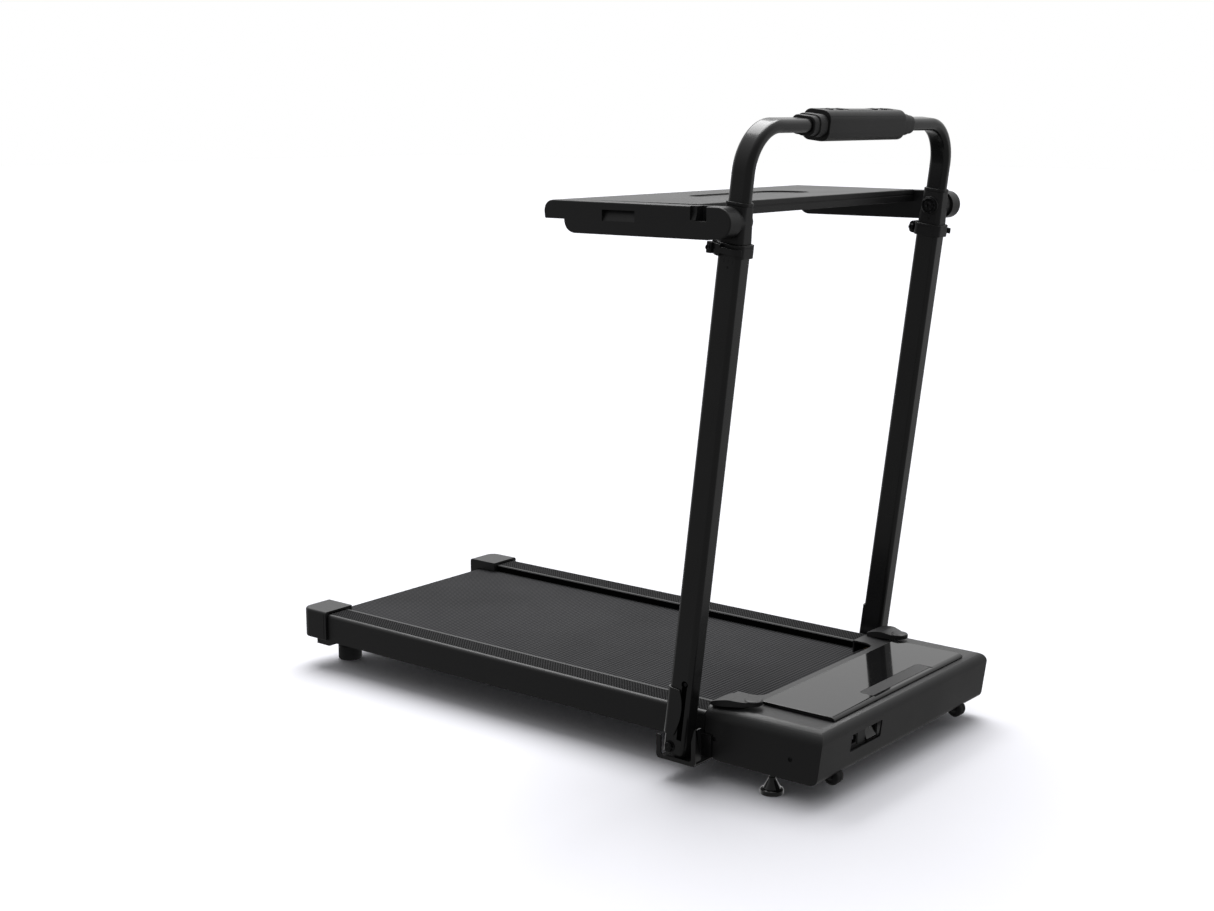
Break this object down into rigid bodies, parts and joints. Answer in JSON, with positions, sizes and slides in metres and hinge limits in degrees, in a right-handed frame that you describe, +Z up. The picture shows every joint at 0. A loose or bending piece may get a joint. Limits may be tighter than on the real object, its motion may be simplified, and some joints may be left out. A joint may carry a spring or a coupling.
{
  "type": "folding desk treadmill",
  "caption": "Low walking treadmill with a motor hood, a leaning folding mast, a bent handlebar with a control console, and a tilting work desk.",
  "frame": {"origin": "on the floor under the middle of the machine", "axes": "+Z up, -Y towards the motor end, X across the deck"},
  "size_m": [0.75, 1.247, 1.1201],
  "materials": {
    "satin_black_plastic": "satin moulded black plastic",
    "gloss_black_plastic": "polished black panel",
    "black_painted_steel": "smooth satin black powder coat",
    "black_rubber": "matt black rubber",
    "belt_weave": "dark grey rubber with a fine woven pattern",
    "zinc_steel": "zinc plated steel",
    "deck_wood": "waxed fibreboard"
  },
  "bodies": {
    "base": {"left_side_frame": "black_painted_steel", "right_side_frame": "black_painted_steel", "left_foot_rail": "satin_black_plastic", "right_foot_rail": "satin_black_plastic", "left_rear_cap": "satin_black_plastic", "right_rear_cap": "satin_black_plastic", "left_rear_foot": "black_rubber", "right_rear_foot": "black_rubber", "front_crossmember": "black_painted_steel", "middle_crossmember": "black_painted_steel", "rear_crossmember": "black_painted_steel", "deck_board": "deck_wood", "running_belt": "belt_weave", "motor_hood": "satin_black_plastic", "hood_top_panel": "gloss_black_plastic", "belly_pan": "black_painted_steel", "drive_motor": "black_painted_steel", "drive_belt": "black_rubber", "motor_controller": "black_painted_steel", "power_socket": "satin_black_plastic", "left_caster_bracket": "black_painted_steel", "right_caster_bracket": "black_painted_steel", "left_base_bracket": "black_painted_steel", "right_base_bracket": "black_painted_steel", "left_pivot_bolt": "zinc_steel", "right_pivot_bolt": "zinc_steel"},
    "mast": {"left_upright": "black_painted_steel", "right_upright": "black_painted_steel", "left_foot_shroud": "satin_black_plastic", "right_foot_shroud": "satin_black_plastic", "left_clamp_collar": "satin_black_plastic", "right_clamp_collar": "satin_black_plastic", "left_clamp_bolt": "zinc_steel", "right_clamp_bolt": "zinc_steel"},
    "handlebar": {"handlebar": "black_painted_steel", "left_hinge_casting": "satin_black_plastic", "right_hinge_casting": "satin_black_plastic", "left_hinge_pin": "zinc_steel", "right_hinge_pin": "zinc_steel", "console_housing": "satin_black_plastic", "console_cover": "gloss_black_plastic"},
    "desk": {"desk_top": "satin_black_plastic", "left_desk_arm": "satin_black_plastic", "right_desk_arm": "satin_black_plastic"},
    "front_roller": {"front_roller": "zinc_steel"},
    "rear_roller": {"rear_roller": "zinc_steel"},
    "motor_pulley": {"motor_pulley": "zinc_steel"},
    "rocker_switch": {"rocker_switch": "gloss_black_plastic"},
    "left_caster_wheel": {"left_caster_wheel": "black_rubber"},
    "left_levelling_foot": {"left_levelling_foot": "black_rubber"},
    "left_release_pedal": {"left_release_pedal": "satin_black_plastic"},
    "left_clamp_lever": {"left_clamp_lever": "satin_black_plastic"},
    "right_caster_wheel": {"right_caster_wheel": "black_rubber"},
    "right_levelling_foot": {"right_levelling_foot": "black_rubber"},
    "right_release_pedal": {"right_release_pedal": "satin_black_plastic"},
    "right_clamp_lever": {"right_clamp_lever": "satin_black_plastic"},
    "console_button_1": {"console_button_1": "satin_black_plastic"},
    "console_button_2": {"console_button_2": "satin_black_plastic"},
    "console_button_3": {"console_button_3": "satin_black_plastic"},
    "console_button_4": {"console_button_4": "satin_black_plastic"}
  },
  "joints": [
    {"name": "mast_fold", "type": "hinge", "parent": "base", "child": "mast", "pos_m": [0, -0.3515, 0.058], "axis": [-1, 0, 0], "range_deg": [0, 68]},
    {"name": "handlebar_height", "type": "slide", "parent": "mast", "child": "handlebar", "axis": [0, -0.1182, 0.993], "range_m": [0, 0.12]},
    {"name": "desk_tilt", "type": "hinge", "parent": "handlebar", "child": "desk", "pos_m": [0, -0.46408, 0.94431], "axis": [1, 0, 0], "range_deg": [0, 45]},
    {"name": "front_roller_spin", "type": "hinge", "parent": "base", "child": "front_roller", "pos_m": [0, -0.475, 0.077], "axis": [1, 0, 0], "continuous": true},
    {"name": "rear_roller_spin", "type": "hinge", "parent": "base", "child": "rear_roller", "pos_m": [0, 0.5925, 0.077], "axis": [1, 0, 0], "continuous": true},
    {"name": "motor_pulley_spin", "type": "hinge", "parent": "base", "child": "motor_pulley", "pos_m": [0.245, -0.556, 0.077], "axis": [1, 0, 0], "continuous": true},
    {"name": "rocker_switch_tilt", "type": "hinge", "parent": "base", "child": "rocker_switch", "pos_m": [-0.117, -0.606, 0.083], "axis": [1, 0, 0], "range_deg": [0, 16]},
    {"name": "left_caster_roll", "type": "hinge", "parent": "base", "child": "left_caster_wheel", "pos_m": [-0.216, -0.6015, 0.03], "axis": [1, 0, 0], "continuous": true},
    {"name": "left_levelling_turn", "type": "hinge", "parent": "base", "child": "left_levelling_foot", "pos_m": [-0.282, -0.5235, 0.016], "axis": [0, 0, 1], "continuous": true},
    {"name": "left_pedal_press", "type": "hinge", "parent": "base", "child": "left_release_pedal", "pos_m": [-0.247, -0.402, 0.1266], "axis": [1, 0, 0], "range_deg": [0, 4], "stiffness_Nm_per_rad": 2, "springref_deg": -5.73},
    {"name": "left_clamp_swing", "type": "hinge", "parent": "mast", "child": "left_clamp_lever", "pos_m": [-0.338, -0.42507, 0.90424], "axis": [0, 0.1182, -0.993], "range_deg": [0, 100]},
    {"name": "right_caster_roll", "type": "hinge", "parent": "base", "child": "right_caster_wheel", "pos_m": [0.216, -0.6015, 0.03], "axis": [1, 0, 0], "continuous": true},
    {"name": "right_levelling_turn", "type": "hinge", "parent": "base", "child": "right_levelling_foot", "pos_m": [0.282, -0.5235, 0.016], "axis": [0, 0, 1], "continuous": true},
    {"name": "right_pedal_press", "type": "hinge", "parent": "base", "child": "right_release_pedal", "pos_m": [0.247, -0.402, 0.1266], "axis": [1, 0, 0], "range_deg": [0, 4], "stiffness_Nm_per_rad": 2, "springref_deg": -5.73},
    {"name": "right_clamp_swing", "type": "hinge", "parent": "mast", "child": "right_clamp_lever", "pos_m": [0.338, -0.42507, 0.90424], "axis": [0, -0.1182, 0.993], "range_deg": [0, 100]},
    {"name": "button_1_press", "type": "slide", "parent": "handlebar", "child": "console_button_1", "axis": [0, 0.1182, -0.993], "range_m": [0, 0.001], "stiffness_N_per_m": 300, "springref_m": -0.001},
    {"name": "button_2_press", "type": "slide", "parent": "handlebar", "child": "console_button_2", "axis": [0, 0.1182, -0.993], "range_m": [0, 0.001], "stiffness_N_per_m": 300, "springref_m": -0.001},
    {"name": "button_3_press", "type": "slide", "parent": "handlebar", "child": "console_button_3", "axis": [0, 0.1182, -0.993], "range_m": [0, 0.001], "stiffness_N_per_m": 300, "springref_m": -0.001},
    {"name": "button_4_press", "type": "slide", "parent": "handlebar", "child": "console_button_4", "axis": [0, 0.1182, -0.993], "range_m": [0, 0.001], "stiffness_N_per_m": 300, "springref_m": -0.001}
  ],
  "couplings": [
    {"joint": "rear_roller_spin", "follows": "front_roller_spin", "ratio": 1},
    {"joint": "motor_pulley_spin", "follows": "front_roller_spin", "ratio": 1.4615}
  ]
}
